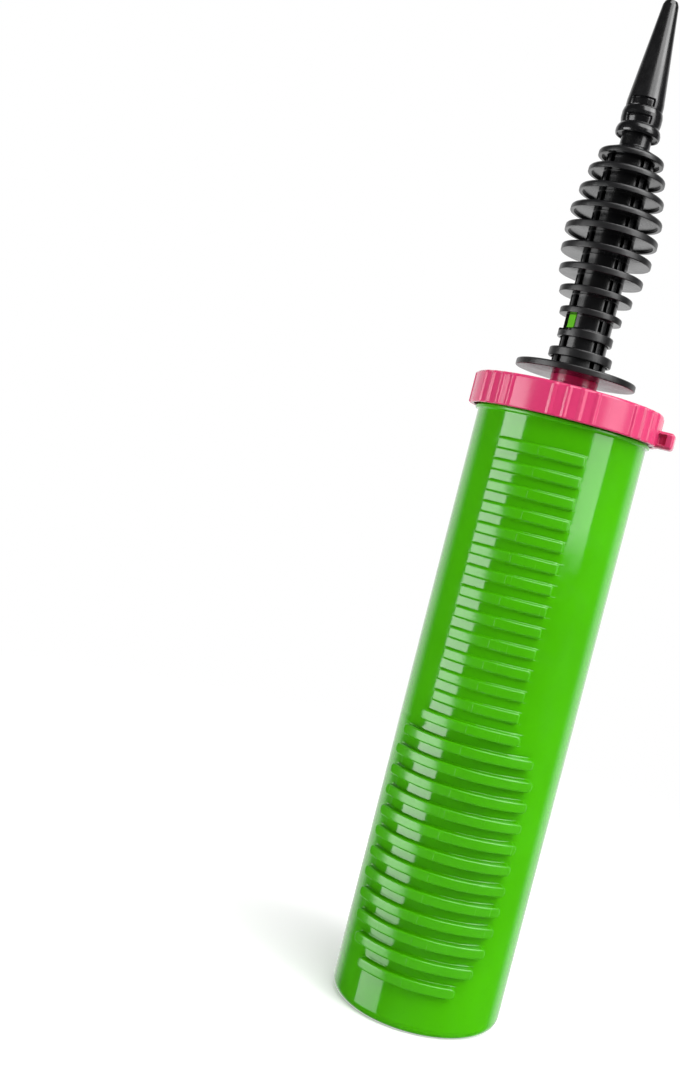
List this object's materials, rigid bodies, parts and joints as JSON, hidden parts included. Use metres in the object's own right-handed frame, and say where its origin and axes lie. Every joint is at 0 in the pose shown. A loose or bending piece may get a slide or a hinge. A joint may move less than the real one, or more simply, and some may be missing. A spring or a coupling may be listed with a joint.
{
  "type": "hand inflation pump",
  "caption": "Hand-held double-action inflation pump: ribbed round barrel, twist collar, sliding plunger tube and stepped beehive nozzle with a tapered tip.",
  "frame": {"origin": "centre of the barrel's flat resting face, on the pump's long axis", "axes": "+Z along the pump from the resting face towards the nozzle's tip; -Y faces the middle of one ribbed grip panel; +X points to the collar's thumb tab"},
  "size_m": [0.0605, 0.0564, 0.3],
  "materials": {
    "barrel_green": "glossy moulded polypropylene",
    "collar_pink": "glossy moulded plastic",
    "plunger_pink": "glossy moulded plastic",
    "nozzle_black": "satin black plastic with a fine moulded texture",
    "cage_green": "glossy moulded plastic",
    "white_plastic": "natural acetal",
    "seal_rubber": "nitrile rubber",
    "valve_rubber": "soft rubber sheet"
  },
  "bodies": {
    "barrel_body": {"barrel": "barrel_green", "intake_valve_stem": "white_plastic"},
    "intake_valve": {"intake_valve_disc": "valve_rubber"},
    "collar_ring": {"collar": "collar_pink", "rim_gasket": "seal_rubber", "guide_bush": "white_plastic", "gland_seal": "seal_rubber"},
    "piston_seal": {"piston_seal_ring": "seal_rubber"},
    "plunger": {"piston_head": "white_plastic", "piston_valve_retainer": "white_plastic", "plunger_tube": "plunger_pink", "plunger_cap": "plunger_pink", "nozzle_seal": "seal_rubber", "nozzle": "nozzle_black", "outlet_valve_cage": "cage_green"},
    "piston_valve": {"piston_valve_disc": "valve_rubber"},
    "outlet_valve": {"outlet_valve_disc": "valve_rubber"}
  },
  "joints": [
    {"name": "intake_valve_lift", "type": "slide", "parent": "barrel_body", "child": "intake_valve", "axis": [0, 0, 1], "range_m": [0, 0.0008]},
    {"name": "collar_turn", "type": "hinge", "parent": "barrel_body", "child": "collar_ring", "pos_m": [0, 0, 0.1795], "axis": [0, 0, 1], "range_deg": [0, 35]},
    {"name": "plunger_slide", "type": "slide", "parent": "barrel_body", "child": "piston_seal", "axis": [0, 0, 1], "range_m": [0, 0.134]},
    {"name": "plunger_spin", "type": "hinge", "parent": "piston_seal", "child": "plunger", "pos_m": [0, 0, 0.1], "axis": [0, 0, 1], "continuous": true},
    {"name": "piston_valve_lift", "type": "slide", "parent": "plunger", "child": "piston_valve", "axis": [0, 0, 1], "range_m": [0, 0.0008]},
    {"name": "outlet_valve_lift", "type": "slide", "parent": "plunger", "child": "outlet_valve", "axis": [0, 0, 1], "range_m": [0, 0.0008]}
  ]
}
